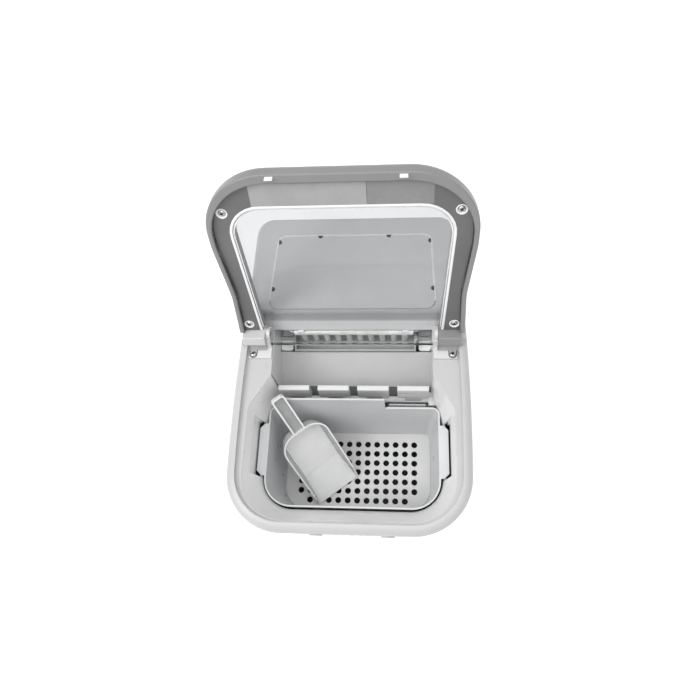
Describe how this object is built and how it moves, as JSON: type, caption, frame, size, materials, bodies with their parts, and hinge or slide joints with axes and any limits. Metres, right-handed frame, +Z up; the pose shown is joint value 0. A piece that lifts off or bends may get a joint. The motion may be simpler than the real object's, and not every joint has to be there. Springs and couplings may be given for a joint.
{
  "type": "countertop ice maker",
  "caption": "Countertop ice maker with a hinged lid that frames a clear pane, a lift-out perforated basket with a scoop, and a tipping water tray under cold fingers.",
  "frame": {"origin": "middle of the footprint, on the surface the feet stand on", "axes": "+X to the right of someone in front of the machine, +Y to its rear, +Z up"},
  "size_m": [0.2428, 0.3412, 0.4911],
  "materials": {
    "casing": "smooth, slightly glossy pale grey",
    "cabinet": "satin pale grey",
    "cover": "fine texture, mid grey",
    "lid_rim": "satin mid grey",
    "lid_frame": "fine texture, grey",
    "window": "clear",
    "lug": "smooth pale grey",
    "bracket": "smooth pale grey",
    "screw": "bright plated",
    "bumper": "soft white",
    "tub": "smooth pale grey",
    "basket": "smooth pale grey",
    "scoop": "smooth pale grey",
    "works": "smooth white",
    "evaporator": "dull nickel plate",
    "dark_plastic": "black",
    "compressor": "black enamel",
    "rubber": "black",
    "fins": "bare",
    "copper": "bare copper",
    "steel": "galvanised",
    "hose": "soft, milky",
    "fascia": "gloss dark grey",
    "button": "satin grey",
    "lens": "clear green tint",
    "board": "green laminate"
  },
  "bodies": {
    "cabinet": {"top_casing": "casing", "front_shell": "casing", "left_side_panel": "cabinet", "right_side_panel": "cabinet", "rear_panel": "cabinet", "base_pan": "steel", "feet": "rubber", "cord_gland": "rubber", "rear_top_cover": "cover", "rear_cover_panel": "cover", "hinge_bracket_left": "bracket", "hinge_bracket_right": "bracket", "hinge_pins": "steel", "hinge_screws": "screw", "inner_tub": "tub", "tray_bearing": "works", "shovel_bearings": "works", "ice_slide": "tub", "drive_gearbox": "dark_plastic", "evaporator_header": "evaporator", "evaporator_fingers": "evaporator", "evaporator_clips": "works", "compressor": "compressor", "compressor_mounts": "rubber", "condenser": "fins", "fan_shroud": "steel", "fan_motor": "steel", "filter_drier": "copper", "suction_pipe": "copper", "discharge_pipe": "copper", "liquid_pipe": "copper", "capillary_pipe": "copper", "water_pump": "dark_plastic", "water_hose": "hose", "drain_spout": "works", "control_fascia": "fascia", "indicator_lenses": "lens", "control_board": "board"},
    "lid": {"lid_outer_shell": "lid_rim", "lid_inner_frame": "lid_frame", "lid_window": "window", "lid_hinge_lugs": "lug", "lid_screws": "screw", "lid_bumpers": "bumper"},
    "basket": {"ice_basket": "basket", "basket_floor": "basket"},
    "scoop": {"ice_scoop": "scoop"},
    "tray": {"water_tray": "works"},
    "shovel": {"ice_shovel": "works"},
    "power_button": {"power_button": "button"},
    "size_button": {"size_button": "button"},
    "drain_plug": {"drain_plug": "rubber"},
    "fan": {"fan_blade": "dark_plastic"}
  },
  "joints": [
    {"name": "lid_hinge", "type": "hinge", "parent": "cabinet", "child": "lid", "pos_m": [0, 0.028, 0.308], "axis": [-1, 0, 0], "range_deg": [-109.6, 0]},
    {"name": "basket_lift", "type": "slide", "parent": "cabinet", "child": "basket", "axis": [0, 0, 1], "range_m": [0, 0.2]},
    {"name": "scoop_lift", "type": "slide", "parent": "basket", "child": "scoop", "axis": [0, 0, 1], "range_m": [0, 0.2]},
    {"name": "tray_tilt", "type": "hinge", "parent": "cabinet", "child": "tray", "pos_m": [0, 0.042, 0.262], "axis": [1, 0, 0], "range_deg": [0, 65]},
    {"name": "shovel_swing", "type": "hinge", "parent": "cabinet", "child": "shovel", "pos_m": [0, -0.017, 0.228], "axis": [1, 0, 0], "range_deg": [-52, 0]},
    {"name": "power_press", "type": "slide", "parent": "cabinet", "child": "power_button", "axis": [0, 0.9954, 0.0958], "range_m": [0, 0.0012], "stiffness_N_per_m": 800},
    {"name": "size_press", "type": "slide", "parent": "cabinet", "child": "size_button", "axis": [0, 0.9954, 0.0958], "range_m": [0, 0.0012], "stiffness_N_per_m": 800},
    {"name": "drain_pull", "type": "slide", "parent": "cabinet", "child": "drain_plug", "axis": [1, 0, 0], "range_m": [0, 0.03]},
    {"name": "fan_spin", "type": "hinge", "parent": "cabinet", "child": "fan", "pos_m": [0.039, 0.127, 0.092], "axis": [0, 1, 0], "continuous": true}
  ],
  "couplings": [
    {"joint": "shovel_swing", "follows": "tray_tilt", "ratio": -0.8}
  ]
}
